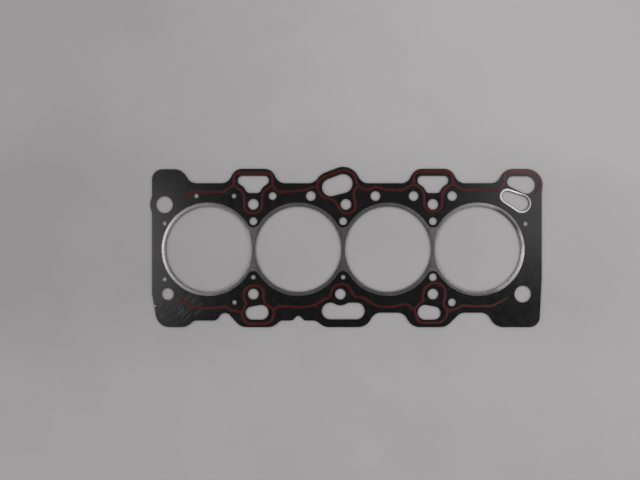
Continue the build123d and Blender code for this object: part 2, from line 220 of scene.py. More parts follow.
def boreRingsGroup():
    # distance from the nearest bore's centre, and the point of a ring that lies straight inwards
    inputs = {"Position": ("Vector", None)}
    tree, entry, result = newGroup("boreRings", inputs, {"Radius": "Float", "Spoke": "Vector"})
    place = axes(tree, entry["Position"])
    firstCell, lastCell = ringsLook["cells"]
    cell = calculate(tree, "FLOOR", calculate(tree, "DIVIDE", place["X"], gasket["pitch"]))
    cell = calculate(tree, "MINIMUM", calculate(tree, "MAXIMUM", cell, firstCell), lastCell)
    centre = calculate(tree, "MULTIPLY", calculate(tree, "ADD", cell, 0.5), gasket["pitch"])
    away = calculate(tree, "SUBTRACT", place["X"], centre)
    flat = addNode(tree, "CombineXYZ", {"X": away, "Y": place["Y"]}).outputs[0]
    feed(tree, result["Radius"], calculateVector(tree, "LENGTH", flat))
    feeds = {0: calculateVector(tree, "NORMALIZE", flat), 3: ringsLook["spokeRadius"]}
    ring = addNode(tree, "VectorMath", feeds, operation="SCALE").outputs[0]
    shift = addNode(tree, "CombineXYZ", {"Z": centre}).outputs[0]
    feed(tree, result["Spoke"], calculateVector(tree, "ADD", ring, shift))
    return tree


fibreGrain = fibreGrainGroup()
softSpot = softSpotGroup()
steelMarks = steelMarksGroup()
boreRings = boreRingsGroup()
print("shared effects built")


# facing of the gasket sheet: the CAD body stays, with a finish of pressed black fibre
facing = {
    "dark": (0.0030, 0.0030, 0.0030, 1.0),
    "light": (0.0070, 0.0069, 0.0068, 1.0),
    "fibres": 1500.0,
    "mottle": 160.0,
    "rough": (0.15, 0.19),
    "bump": 0.5,
    "bumpDepth": 0.00001,
    # the near corner of the right end is this much cleaner than the rest
    "cleanX": (0.12, 0.15),
    "cleanY": (-0.030, -0.050),
    "cleanShare": 0.85,
    # dents and specks: few up to the first X, many from the second
    "speckScale": 270.0,
    "speckX": (0.05, 0.17),
    "speckLimits": (0.96, 0.72),
    "speckEdge": (0.24, 0.17),
    "speckRagged": 0.22,
    "raggedScale": 1600.0,
    "paleLimit": 0.6,
    "paleShare": 0.7,
    "speckRough": 0.35,
    "speckDepth": 2.0,
    # hairlines and smudges from handling
    "scuff": (0.024, 0.023, 0.022, 1.0),
    "hairlines": 420.0,
    "smudges": 45.0,
    "scuffX": (0.125, 0.175),
    "scuffShare": 0.35,
    "smudgeRough": 0.03,
    # creases in one corner, with painted shade in the creases and painted highlight on the ridges
    "paintedCreaseShade": (0.0010, 0.0010, 0.0010, 1.0),
    "creasePlace": (-0.170, -0.0615, 0.0015),
    "creaseReach": (0.030, 0.019, 1.0),
    "creaseCore": 0.5,
    "creaseTurn": 0.82,
    "creaseStretch": (4.5, 1.0, 1.0),
    "creaseScale": 270.0,
    "creaseEdge": (0.57, 0.66),
    "creaseRough": 0.45,
    "creaseDepth": 6.0,
    "ridgeEdge": (0.41, 0.33),
    "ridgeHighlightShare": 0.7,
    "ridgeHeight": 4.0,
    # a bare nick in the left edge
    "nick": (0.42, 0.40, 0.38, 1.0),
    "nickPlace": (-0.1945, -0.0586, 0.0015),
    "nickReach": (0.0012, 0.0009, 1.0),
    "nickCore": 0.3,
    "nickTurn": 0.9,
    # die-cut walls, where the normal turns away from straight up
    "cut": (0.030, 0.029, 0.029, 1.0),
    "wallTurn": (0.7, 0.3),
    "wallRough": 0.3,
    "layerStretch": (1.0, 1.0, 6.0),
    "layerScale": 900.0,
    "layerEdge": (0.35, 0.65),
}


def facingMaterial():
    material, tree, shader, position = newMaterial("compositeFacing", Specular_IOR_Level=0.5)
    feeds = {"Position": position, "Fibres": facing["fibres"], "Mottle": facing["mottle"]}
    grain = useGroup(tree, fibreGrain, feeds)
    colour = blend(tree, grain["Shade"], facing["dark"], facing["light"])

    place = axes(tree, position)
    cleanAlong = remap(tree, place["X"], *facing["cleanX"])
    cleanAcross = remap(tree, place["Y"], *facing["cleanY"])
    clean = calculate(tree, "MULTIPLY", cleanAlong, cleanAcross)
    handled = calculate(tree, "MULTIPLY_ADD", clean, -facing["cleanShare"], 1.0)

    # a few dents and pale specks
    feeds = {"Vector": position, "Scale": facing["speckScale"], "Randomness": 1.0}
    cells = addNode(tree, "TexVoronoi", feeds, voronoi_dimensions="2D").outputs
    pick = addNode(tree, "SeparateColor", {0: cells["Color"]}).outputs
    limit = remap(tree, place["X"], *facing["speckX"], *facing["speckLimits"])
    ragged = noise(tree, position, facing["raggedScale"], detail=2.0)
    ragged = calculate(tree, "MULTIPLY_ADD", ragged, facing["speckRagged"], cells["Distance"])
    picked = calculate(tree, "GREATER_THAN", pick["Red"], limit)
    specks = calculate(tree, "MULTIPLY", remap(tree, ragged, *facing["speckEdge"]), picked)
    specks = calculate(tree, "MULTIPLY", specks, handled)
    pale = calculate(tree, "GREATER_THAN", pick["Green"], facing["paleLimit"])
    paleSpecks = calculate(tree, "MULTIPLY", specks, pale)
    colour = tint(tree, colour, paleSpecks, facing["paleShare"], facing["scuff"])

    # hairline scuffs at the two ends
    feeds = {"Position": position, "Hairlines": facing["hairlines"], "Smudges": facing["smudges"]}
    hairs = useGroup(tree, steelMarks, feeds)
    ends = remap(tree, calculate(tree, "ABSOLUTE", place["X"]), *facing["scuffX"])
    scuffs = calculate(tree, "MULTIPLY", calculate(tree, "MULTIPLY", hairs["Scratch"], ends), handled)
    colour = tint(tree, colour, scuffs, facing["scuffShare"], facing["scuff"])

    # creases pressed in, painted dark as shade in the creases, with the ridges between painted pale as
    # highlight
    corner = spotMask(tree, position, facing["creasePlace"], facing["creaseReach"], facing["creaseCore"])
    turn = (0.0, 0.0, facing["creaseTurn"])
    feeds = {"Vector": position, "Rotation": turn, "Scale": facing["creaseStretch"]}
    along = addNode(tree, "Mapping", feeds, vector_type="TEXTURE").outputs[0]
    streaks = noise(tree, along, facing["creaseScale"], detail=1.0)
    creasesAndShade = calculate(tree, "MULTIPLY", remap(tree, streaks, *facing["creaseEdge"]), corner)
    ridgesAndHighlight = calculate(tree, "MULTIPLY", remap(tree, streaks, *facing["ridgeEdge"]), corner)
    colour = blend(tree, creasesAndShade, colour, facing["paintedCreaseShade"])
    colour = tint(tree, colour, ridgesAndHighlight, facing["ridgeHighlightShare"], facing["scuff"])

    nick = spotMask(
        tree, position, facing["nickPlace"], facing["nickReach"], facing["nickCore"], facing["nickTurn"],
    )
    colour = blend(tree, nick, colour, facing["nick"])

    # walls show open fibre, a little greyer
    wall = remap(tree, calculate(tree, "ABSOLUTE", upward(tree)), *facing["wallTurn"])
    layers = calculateVector(tree, "MULTIPLY", position, facing["layerStretch"])
    layers = noise(tree, layers, facing["layerScale"])
    cut = blend(tree, remap(tree, layers, *facing["layerEdge"]), facing["light"], facing["cut"])
    feed(tree, shader.inputs["Base Color"], blend(tree, wall, colour, cut))

    rough = remap(tree, grain["Shade"], 0.0, 1.0, *facing["rough"], smooth=False)
    smudges = calculate(tree, "MULTIPLY", hairs["Smudge"], handled)
    for mask, gain in (
        (smudges, facing["smudgeRough"]), (creasesAndShade, facing["creaseRough"]),
        (specks, facing["speckRough"]), (wall, facing["wallRough"]),
    ):
        rough = calculate(tree, "MULTIPLY_ADD", mask, gain, rough)
    feed(tree, shader.inputs["Roughness"], rough)
    height = grain["Height"]
    for mask, rise in (
        (specks, -facing["speckDepth"]), (creasesAndShade, -facing["creaseDepth"]), (ridgesAndHighlight, facing["ridgeHeight"]),
    ):
        height = calculate(tree, "MULTIPLY_ADD", mask, rise, height)
    addBump(tree, shader, height, facing["bump"], facing["bumpDepth"])
    return material


facingFinish = facingMaterial()
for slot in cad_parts["gasket_body"].material_slots:
    slot.material = facingFinish
print("facing finished")


# folded metal: a section is drawn beside the Z axis, then spun round it
def foldedSection(mesh, shape):
    # from the head flange's rim, round the two corners of the nose, to the block flange's rim
    corner = shape["corner"]
    inside = shape["opening"] + corner
    top = mesh.verts.new((inside, 0.0, gasket["thickness"]))
    last = top
    for level in (gasket["thickness"] - corner, corner):
        if last is not top:
            last = bmesh.ops.extrude_vert_indiv(mesh, verts=[last])["verts"][0]
            last.co.z = level
        last = bmesh.ops.spin(
            mesh, geom=[last], cent=(inside, 0.0, level), axis=(0.0, -1.0, 0.0), dvec=(0.0, 0.0, 0.0),
            angle=pi / 2, steps=shape["cornerSteps"], use_merge=False, use_duplicate=False,
        )["geom_last"][0]
    for start, points in ((top, shape["headFlange"]), (last, shape["blockFlange"])):
        for out, level in points:
            start = bmesh.ops.extrude_vert_indiv(mesh, verts=[start])["verts"][0]
            start.co = (out, 0.0, level)


def joinMesh(mesh, part):
    # adds a finished part to a mesh
    data = bpy.data.meshes.new("partHolder")
    part.to_mesh(data)
    part.free()
    mesh.from_mesh(data)
    bpy.data.meshes.remove(data)


def foldSheet(mesh):
    # an open sheet can come out either way round, so it is turned outwards before it gets its thickness
    probe = max(mesh.faces, key=lambda face: face.calc_center_median().z + face.calc_area())
    if probe.normal.z <= 0:
        bmesh.ops.reverse_faces(mesh, faces=mesh.faces[:])
    bmesh.ops.solidify(mesh, geom=mesh.faces[:], thickness=gasket["metal"])


def makePiece(mesh, name, material):
    data = bpy.data.meshes.new(name)
    mesh.to_mesh(data)
    mesh.free()
    piece = bpy.data.objects.new(name, data)
    bpy.context.scene.collection.objects.link(piece)
    data.materials.append(material)
    return piece


def smoothShade(piece, creaseAngle):
    # smooth over gentle turns, sharp at folds above the angle
    for face in piece.data.polygons:
        face.use_smooth = True
    mesh = bmesh.new()
    mesh.from_mesh(piece.data)
    for edge in mesh.edges:
        edge.smooth = len(edge.link_faces) == 2 and edge.calc_face_angle(pi) < creaseAngle
    mesh.to_mesh(piece.data)
    mesh.free()


armour = {
    "opening": 0.0441,
    "corner": 0.0004,
    "cornerSteps": 6,
    "headFlange": ((0.0445, 0.0016), (0.0463, 0.0016), (0.04818, 0.0016), (0.0482, 0.00158)),
    "blockFlange": ((0.0445, 0.0), (0.0463, 0.0), (0.0482, 0.0)),
    "straight": 0.0445,  # inside this the rings stay round
    "rim": 0.0482,
    "roundSteps": 504,  # a multiple of 14 puts a step on each end of the seams between bores
    "bridgeY": 0.0289964,
    "bridgeRadius": 0.0066,
    "foldGap": 0.0003,
    "onSeam": 2e-6,  # points this close to the seam lie on it
    "straightSlack": 1e-5,
    "rimSlack": 1e-4,  # as a share of the flange
    "cornerSlack": 1e-3,  # in radians
    "creaseAngle": radians(22),
    # tones
    "steel": (0.425, 0.400, 0.405, 1.0),
    "webSteel": (0.46, 0.43, 0.42, 1.0),
    "webFrom": (0.0474, 0.0486),
    # painted shade: the curve of the fold, where it turns away from straight up, is painted dark
    "fold": (0.075, 0.072, 0.073, 1.0),
    "foldTurn": (0.93, 0.8),
    # fine radial ticks from the drawing of the sheet, and marks from handling
    "tick": (0.22, 0.208, 0.210, 1.0),
    "tickScale": 1100.0,
    "tickPull": 0.12,
    "tickEdge": (0.48, 0.66),
    "tickShare": 0.4,
    "hairlines": 900.0,
    "smudges": 70.0,
    "smudgeShare": 0.15,
    # painted highlight: places, turns and reaches of the patches at the two ends where the flange is painted
    # bright as a reflection of the side light, and how bright
    "paintedHighlight": (0.78, 0.74, 0.745, 1.0),
    "highlightPatches": (
        ((0.1770, -0.0230, 0.0016), -1.05, (0.036, 0.014, 1.0), 1.0),
        ((-0.1830, 0.0090, 0.0016), -1.35, (0.040, 0.014, 1.0), 0.35),
    ),
    "highlightCore": 0.55,
    # painted shade: a patch of the flange by the eyelet, painted darker
    "paintedShade": (0.13, 0.125, 0.125, 1.0),
    "paintedShadePlace": (0.1715, 0.0325, 0.0016),
    "paintedShadeReach": (0.0240, 0.0100, 1.0),
    "paintedShadeCore": 0.5,
    "paintedShadeTurn": pi / 4,
    "paintedShadeRim": (0.0478, 0.0474),
    "rough": (0.16, 0.22),
    "roughTicks": (0.3, 0.7),
    "smudgeRough": 0.05,
    "scratchRough": 0.06,
    "scratchDepth": 0.3,
    "bump": 0.3,
    "bumpDepth": 0.00001,
}


def headRim(angle, hasLeft, hasRight):
    # how far the joined head flange reaches from a bore's centre
    half = gasket["pitch"] / 2
    turn = abs(angle)
    if turn > pi / 2:
        turn = pi - turn
        joined = hasLeft
    else:
        joined = hasRight
    bridge = atan2(armour["bridgeY"], half)
    corner = atan2(armour["bridgeY"] - armour["bridgeRadius"], half)
    if not joined or turn > bridge:
        return armour["rim"]
    if turn < corner + armour["cornerSlack"]:
        return half / cos(turn)
    reach = hypot(half, armour["bridgeY"])
    along = reach * cos(bridge - turn)
    return along - sqrt(armour["bridgeRadius"] ** 2 - reach ** 2 + along ** 2)


def blockRim(angle, hasLeft, hasRight):
    joined = hasRight if cos(angle) > 0 else hasLeft
    if not joined:
        return armour["rim"]
    return min(armour["rim"], (gasket["pitch"] - armour["foldGap"]) / 2 / max(abs(cos(angle)), 1e-6))


def armourMesh():
    half = gasket["pitch"] / 2
    inner = armour["straight"]
    mesh = bmesh.new()
    for index, centre in enumerate(gasket["bores"]):
        ring = bmesh.new()
        foldedSection(ring, armour)
        bmesh.ops.spin(
            ring, geom=ring.verts[:] + ring.edges[:], cent=(0.0, 0.0, 0.0), axis=(0.0, 0.0, 1.0),
            dvec=(0.0, 0.0, 0.0), angle=2 * pi, steps=armour["roundSteps"], use_merge=True,
            use_duplicate=False,
        )
        hasLeft = index > 0
        hasRight = index < len(gasket["bores"]) - 1
        for vert in ring.verts:
            out = hypot(vert.co.x, vert.co.y)
            if out < inner + armour["straightSlack"]:
                continue
            angle = atan2(vert.co.y, vert.co.x)
            onHead = vert.co.z > gasket["thickness"] / 2
            rim = headRim(angle, hasLeft, hasRight) if onHead else blockRim(angle, hasLeft, hasRight)
            share = (out - inner) / (armour["rim"] - inner)
            grown = inner + share * (rim - inner)
            vert.co.x, vert.co.y = grown * cos(angle), grown * sin(angle)
            if onHead and abs(rim * abs(cos(angle)) - half) < armour["onSeam"]:
                # up to the seam with the next bore the flange stays flat
                vert.co.z = gasket["thickness"]
                if share > 1 - armour["rimSlack"]:
                    vert.co.x = copysign(half, vert.co.x)
        bmesh.ops.translate(ring, vec=(centre, 0.0, 0.0), verts=ring.verts[:])
        joinMesh(mesh, ring)
    bmesh.ops.remove_doubles(mesh, verts=mesh.verts[:], dist=armour["onSeam"])
    bmesh.ops.recalc_face_normals(mesh, faces=mesh.faces[:])
    return mesh


def armourMaterial():
    material, tree, shader, position = newMaterial("foldedSteel", Metallic=1.0)
    rings = useGroup(tree, boreRings, {"Position": position})
    feeds = {"Position": position, "Hairlines": armour["hairlines"], "Smudges": armour["smudges"]}
    marks = useGroup(tree, steelMarks, feeds)
    pull = addNode(tree, "VectorMath", {0: position, 3: armour["tickPull"]}, operation="SCALE").outputs[0]
    spoke = calculateVector(tree, "ADD", rings["Spoke"], pull)
    ticks = noise(tree, spoke, armour["tickScale"], roughness=0.65)
    web = remap(tree, rings["Radius"], *armour["webFrom"])
    offWeb = calculate(tree, "SUBTRACT", 1.0, web)
    tickMask = calculate(tree, "MULTIPLY", remap(tree, ticks, *armour["tickEdge"]), offWeb)
    colour = blend(tree, web, armour["steel"], armour["webSteel"])
    # painted highlight: the flange is painted lighter at both ends, standing in for reflection
    for centre, turn, reach, strength in armour["highlightPatches"]:
        mask = spotMask(tree, position, centre, reach, armour["highlightCore"], turn)
        colour = tint(tree, colour, mask, strength, armour["paintedHighlight"])
    colour = tint(tree, colour, tickMask, armour["tickShare"], armour["tick"])
    colour = tint(tree, colour, marks["Smudge"], armour["smudgeShare"], armour["tick"])
    # painted shade: darkens the flange by the eyelet
    paintedShade = spotMask(
        tree, position, armour["paintedShadePlace"], armour["paintedShadeReach"], armour["paintedShadeCore"], armour["paintedShadeTurn"],
    )
    paintedShade = calculate(tree, "MULTIPLY", paintedShade, remap(tree, rings["Radius"], *armour["paintedShadeRim"]))
    colour = blend(tree, paintedShade, colour, armour["paintedShade"])
    # painted shade: darker where the fold turns away from straight up
    colour = blend(tree, remap(tree, upward(tree), *armour["foldTurn"]), colour, armour["fold"])
    feed(tree, shader.inputs["Base Color"], colour)
    rough = remap(tree, ticks, *armour["roughTicks"], *armour["rough"], smooth=False)
    rough = calculate(tree, "MULTIPLY_ADD", marks["Smudge"], armour["smudgeRough"], rough)
    rough = calculate(tree, "MULTIPLY_ADD", marks["Scratch"], armour["scratchRough"], rough)
    feed(tree, shader.inputs["Roughness"], rough)
    height = calculate(tree, "MULTIPLY_ADD", marks["Scratch"], -armour["scratchDepth"], ticks)
    addBump(tree, shader, height, armour["bump"], armour["bumpDepth"])
    return material


def combustionArmour():
    mesh = armourMesh()
    foldSheet(mesh)
    piece = makePiece(mesh, "combustionArmour", armourMaterial())
    smoothShade(piece, armour["creaseAngle"])
    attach(piece, "root")
    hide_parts("combustion_armour")


combustionArmour()
print("combustion armour folded")


# oil eyelet: the same folded metal along a slot with two round ends
eyelet = {
    "ends": (((0.1695, 0.0548), 0.00545), ((0.1845, 0.0474), 0.0076)),
    "opening": 0.0,  # beyond the slot's edge, as are the flange's points
    "corner": 0.0007,
    "cornerSteps": 8,
    "headFlange": ((0.0010, 0.0016), (0.0014, 0.0016), (0.0018, 0.0016), (0.0021, 0.00155), (0.0023, 0.00149)),
    "blockFlange": ((0.0010, 0.0), (0.0014, 0.0), (0.0023, 0.0)),
    "roundSteps": 56,
    "joined": 1e-7,
    "creaseAngle": radians(40),
    "steel": (0.755, 0.732, 0.735, 1.0),
    "stain": (0.52, 0.505, 0.505, 1.0),
    "stainShare": 0.4,
    "hairlines": 1500.0,
    "smudges": 160.0,
    # painted shade: the right end is painted darker
    "paintedShade": (0.30, 0.29, 0.29, 1.0),
    "paintedShadePlace": (0.1905, 0.0500, 0.0016),
    "paintedShadeReach": (0.0145, 0.0175, 1.0),
    "paintedShadeCore": 0.35,
    # painted shade: the rolled inner curve, where it turns away from straight up, is painted dark
    "fold": (0.10, 0.098, 0.096, 1.0),
    "foldTurn": (0.99, 0.93),
    "rough": 0.2,
    "smudgeRough": 0.12,
    "scratchRough": 0.08,
    "bump": 0.3,
    "bumpDepth": 0.00002,
}


def eyeletEnd(radius, start, sweep):
    # one round end, with the edges where it starts and stops marked 1 and 2
    end = bmesh.new()
    mark = end.edges.layers.int.new("openEnd")
    shape = dict(eyelet, opening=radius)
    for flange in ("headFlange", "blockFlange"):
        shape[flange] = [(radius + out, level) for out, level in eyelet[flange]]
    foldedSection(end, shape)
    bmesh.ops.rotate(end, cent=(0.0, 0.0, 0.0), matrix=Matrix.Rotation(start, 3, "Z"), verts=end.verts[:])
    section = end.edges[:]
    found = bmesh.ops.spin(
        end, geom=end.verts[:] + section, cent=(0.0, 0.0, 0.0), axis=(0.0, 0.0, 1.0),
        dvec=(0.0, 0.0, 0.0), angle=sweep, steps=eyelet["roundSteps"], use_merge=False,
        use_duplicate=False,
    )
    for edge in section:
        edge[mark] = 1
    for edge in found["geom_last"]:
        if isinstance(edge, bmesh.types.BMEdge):
            edge[mark] = 2
    return end


def eyeletMesh():
    (first, firstRadius), (second, secondRadius) = eyelet["ends"]
    lean = atan2(second[1] - first[1], second[0] - first[0])
    span = hypot(second[0] - first[0], second[1] - first[1])
    tangent = acos((firstRadius - secondRadius) / span)
    mesh = bmesh.new()
    openEdges = []
    for (x, y), radius, start, sweep in (
        (first, firstRadius, lean + tangent, 2 * pi - 2 * tangent),
        (second, secondRadius, lean - tangent, 2 * tangent),
    ):
        end = eyeletEnd(radius, start, sweep)
        bmesh.ops.translate(end, vec=(x, y, 0.0), verts=end.verts[:])
        before = len(mesh.edges)
        joinMesh(mesh, end)
        mesh.edges.ensure_lookup_table()
        mark = mesh.edges.layers.int.get("openEnd")
        openEdges.append([[edge for edge in mesh.edges[before:] if edge[mark] == side] for side in (1, 2)])
    (firstStart, firstStop), (secondStart, secondStop) = openEdges
    bmesh.ops.bridge_loops(mesh, edges=firstStop + secondStart)
    bmesh.ops.bridge_loops(mesh, edges=secondStop + firstStart)
    bmesh.ops.remove_doubles(mesh, verts=mesh.verts[:], dist=eyelet["joined"])
    bmesh.ops.recalc_face_normals(mesh, faces=mesh.faces[:])
    return mesh


def eyeletMaterial():
    material, tree, shader, position = newMaterial("eyeletSteel", Metallic=1.0)
    feeds = {"Position": position, "Hairlines": eyelet["hairlines"], "Smudges": eyelet["smudges"]}
    marks = useGroup(tree, steelMarks, feeds)
    colour = tint(tree, eyelet["steel"], marks["Smudge"], eyelet["stainShare"], eyelet["stain"])
    # painted shade: darkens the right end of the eyelet
    paintedShade = spotMask(tree, position, eyelet["paintedShadePlace"], eyelet["paintedShadeReach"], eyelet["paintedShadeCore"])
    colour = blend(tree, paintedShade, colour, eyelet["paintedShade"])
    # painted shade: darker where the roll turns away from straight up
    colour = blend(tree, remap(tree, upward(tree), *eyelet["foldTurn"]), colour, eyelet["fold"])
    feed(tree, shader.inputs["Base Color"], colour)
    rough = calculate(tree, "MULTIPLY_ADD", marks["Smudge"], eyelet["smudgeRough"], eyelet["rough"])
    rough = calculate(tree, "MULTIPLY_ADD", marks["Scratch"], eyelet["scratchRough"], rough)
    feed(tree, shader.inputs["Roughness"], rough)
    addBump(tree, shader, marks["Scratch"], eyelet["bump"], eyelet["bumpDepth"])
    return material


def oilEyelet():
    mesh = eyeletMesh()
    foldSheet(mesh)
    piece = makePiece(mesh, "oilEyelet", eyeletMaterial())
    smoothShade(piece, eyelet["creaseAngle"])
    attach(piece, "root")
    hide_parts("oil_eyelet")


oilEyelet()
print("oil eyelet rolled")


# printed sealing beads: low domed lines along smooth routes, in mm. A third number widens the line
bead = {
    "width": 2.5,
    "height": 0.12,
    "sink": 0.02,  # the base lies this deep in the facing
    "domePoints": 9,
    "resolution": 10,
    "longRun": 9.0,  # longer runs are held straight by a point this near each end
    "steady": 3.0,
    "joined": 1e-7,  # in metres, as are the reaches and places below
    "creaseAngle": radians(40),
    "red": (0.050, 0.0022, 0.0017, 1.0),
    # painted sheen: the red is painted pinker towards the right end and paler round the right ear, standing in
    # for reflection
    "sheenRose": (0.066, 0.0090, 0.0090, 1.0),
    "sheenRoseX": (0.02, 0.19),
    "pale": (0.098, 0.034, 0.036, 1.0),
    "sheenPlace": (0.178, 0.078, 0.0015),
    "sheenReach": (0.034, 0.022, 1.0),
    "sheenCore": 0.7,
    # uneven ink, and stretches where it has worn
    "worn": (0.034, 0.0036, 0.0030, 1.0),
    "unevenScale": 55.0,
    "unevenEdge": (0.35, 0.65),
    "unevenShare": 0.3,
    "wornSpots": (
        ((-0.093, 0.0792, 0.0015), (0.021, 0.004, 1.0)),
        ((0.093, 0.0808, 0.0015), (0.021, 0.005, 1.0)),
        ((-0.172, 0.0525, 0.0015), (0.012, 0.010, 1.0)),
        ((0.172, -0.0500, 0.0015), (0.010, 0.008, 1.0)),
    ),
    "wornCore": 0.6,
    "wornShare": 0.75,
    # thin ink in the scuffs and low on the line's flanks
    "thin": (0.018, 0.0030, 0.0028, 1.0),
    "scuffScale": 420.0,
    "scuffEdge": (0.56, 0.7),
    "scuffShare": 0.45,
    "scuffRough": 0.15,
    "scuffDepth": 0.6,
    "thinRise": (0.00006, 0.00001),
    "thinShare": 0.8,
    "rough": (0.3, 0.42),
    "bump": 0.35,
    "bumpDepth": 0.00002,
}

west, east = -93.0, 93.0
leftEnd, rightEnd = -139.5, 139.5
farRow, nearRow = 46.5, -46.5


def shifted(x, y, points):
    return [(x + point[0], y + point[1], *point[2:]) for point in points]


def windowLoop(station, rise, topWidth):
    right = [
        (3.0, -8.95), (6.7, -6.8), (8.95, -3.0), (9.5, 8.0), (12.2, 14.0), (20.2, 19.75),
        (19.7, 28.95), (15.0, 32.25, topWidth),
    ]
    left = [(-point[0], *point[1:]) for point in reversed(right)]
    return shifted(station, farRow + rise, right + left)


farRoutes = [
    (False, [
        *shifted(leftEnd, farRow, [
            (-31.0, 5.9, 0.15), (-29.6, 6.5, 0.5), (-26.5, 7.4, 0.8), (-21.8, 8.9), (-17.3, 12.8),
        ]),
        *shifted(west, farRow, [(-30.5, 12.9), (-26.0, 16.2), (-20.2, 19.75)]),
    ]),
    (True, windowLoop(west, 0.0, 1.25)),
    (False, [
        *shifted(west, farRow, [(20.2, 19.75), (23.6, 14.7), (28.6, 12.4), (39.0, 13.4)]),
        *shifted(0.0, farRow, [(-40.6, 14.4), (-33.5, 17.1), (-26.3, 18.1)]),
    ]),
    (True, shifted(0.0, farRow, [
        (-26.3, 18.1), (-26.0, 23.1), (-22.4, 26.8), (-17.4, 29.5), (-3.4, 34.4), (1.6, 35.4), (7.3, 33.3),
        (12.0, 29.1), (15.3, 19.2), (12.0, 15.2), (11.0, 8.5), (12.3, 1.9), (12.2, -4.6), (9.3, -7.6),
        (2.0, -9.4), (-1.6, -7.6), (-4.8, -2.1), (-7.6, 1.9), (-12.8, 5.4), (-19.4, 6.9), (-23.6, 10.6),
    ])),
    (False, [
        *shifted(0.0, farRow, [
            (15.3, 19.2), (20.6, 15.9), (26.0, 15.1), (32.6, 17.5), (38.0, 17.1), (44.6, 15.2),
        ]),
        *shifted(east, farRow, [(-32.5, 14.4), (-27.2, 17.2), (-20.2, 21.45)]),
    ]),
    (True, windowLoop(east, 1.7, 1.6)),
    (False, [
        *shifted(east, farRow, [(20.2, 21.45), (26.0, 17.6), (30.6, 14.9)]),
        *shifted(rightEnd, farRow, [
            (20.0, 14.5), (25.6, 19.4), (27.8, 23.5), (27.9, 29.8), (31.0, 33.0, 1.1), (34.6, 33.8, 1.3),
            (53.0, 33.4, 1.5), (60.2, 30.3, 1.2), (63.5, 24.2, 1.2), (62.7, 18.4, 1.0),
            (59.2, 11.2, 0.6), (58.5, 10.0, 0.15),
        ]),
    ]),
]

nearRoutes = [
    (False, [
        *shifted(leftEnd, nearRow, [
            (-33.2, -4.5, 0.15), (-31.8, -5.0, 0.5), (-27.2, -6.6, 0.8), (-21.8, -9.8),
            (-13.9, -13.1), (-4.5, -14.5), (6.0, -14.5),
        ]),
        *shifted(west, nearRow, [(-28.5, -13.1), (-23.3, -16.6), (-15.3, -17.8), (-11.0, -19.7)]),
    ]),
    (True, shifted(west, nearRow, [
        (-11.0, -19.7), (-7.3, -10.4), (-9.9, -2.4), (-9.2, 2.2), (-6.7, 6.0), (-2.0, 8.5), (3.5, 8.9),
        (8.1, 6.8), (10.6, 2.8), (11.0, -3.8), (13.2, -9.8), (18.6, -13.8), (21.2, -16.4), (21.2, -21.6),
        (19.0, -27.0), (12.6, -30.5), (-4.7, -30.5), (-9.3, -27.0),
    ])),
    (False, [
        *shifted(west, nearRow, [(21.2, -16.4), (25.8, -13.2), (32.5, -12.5)]),
        *shifted(0.0, nearRow, [
            (-40.6, -13.5), (-28.7, -11.1), (-20.7, -5.8), (-14.2, -2.5), (-11.5, 4.1), (-8.1, 8.2),
            (-1.5, 10.4), (2.2, 10.0), (6.0, 7.5), (8.7, 2.1), (12.0, -2.2), (19.3, -3.3), (26.0, -7.2),
            (32.5, -11.2), (40.5, -13.1),
        ]),
        *shifted(east, nearRow, [(-40.6, -12.9), (-32.6, -11.1), (-26.0, -11.2), (-19.3, -17.1)]),
    ]),
    (True, shifted(east, nearRow, [
        (-19.3, -17.1), (-15.4, -11.2), (-10.7, -6.5), (-10.7, -1.1), (-8.7, 5.5), (-4.0, 9.8), (0.6, 11.3),
        (8.6, 9.2), (12.0, 4.1), (12.0, -4.6), (10.6, -10.0), (14.6, -17.5), (12.2, -25.0), (8.4, -28.4),
        (3.0, -29.6), (-11.3, -29.6), (-16.0, -26.6),
    ])),
    (False, [
        *shifted(east, nearRow, [(14.6, -17.5), (24.4, -14.7), (30.4, -11.7)]),
        *shifted(rightEnd, nearRow, [
            (-2.5, -12.6), (13.5, -12.1), (21.5, -8.5, 0.9), (29.6, -3.9, 0.85), (32.1, -2.5, 0.35),
        ]),
    ]),
]


def steadied(points, closed):
    # holds long runs straight, by a further point near each of their ends
    held = []
    following = points[1:] + (points[:1] if closed else [points[-1]])
    for (x, y, *wide), (nextX, nextY, *nextWide) in zip(points, following):
        wide, nextWide = (*wide, 1.0)[0], (*nextWide, 1.0)[0]
        held.append((x, y, wide))
        run = hypot(nextX - x, nextY - y)
        if run < bead["longRun"]:
            continue
        for share in (bead["steady"] / run, 1 - bead["steady"] / run):
            held.append((
                x + share * (nextX - x), y + share * (nextY - y), wide + share * (nextWide - wide),
            ))
    return held


def beadSection():
    # a low dome across the line, closed under its base
    curve = bpy.data.curves.new("beadSection", "CURVE")
    curve.dimensions = "2D"
    spline = curve.splines.new("POLY")
    count = bead["domePoints"]
    spline.points.add(count - 1)
    for index, point in enumerate(spline.points):
        turn = pi * index / (count - 1)
        x = -cos(turn) * bead["width"] / 2000
        point.co = (x, sin(turn) * (bead["height"] + bead["sink"]) / 1000, 0.0, 1.0)
    spline.use_cyclic_u = True
    section = bpy.data.objects.new("beadSection", curve)
    bpy.context.scene.collection.objects.link(section)
    return section


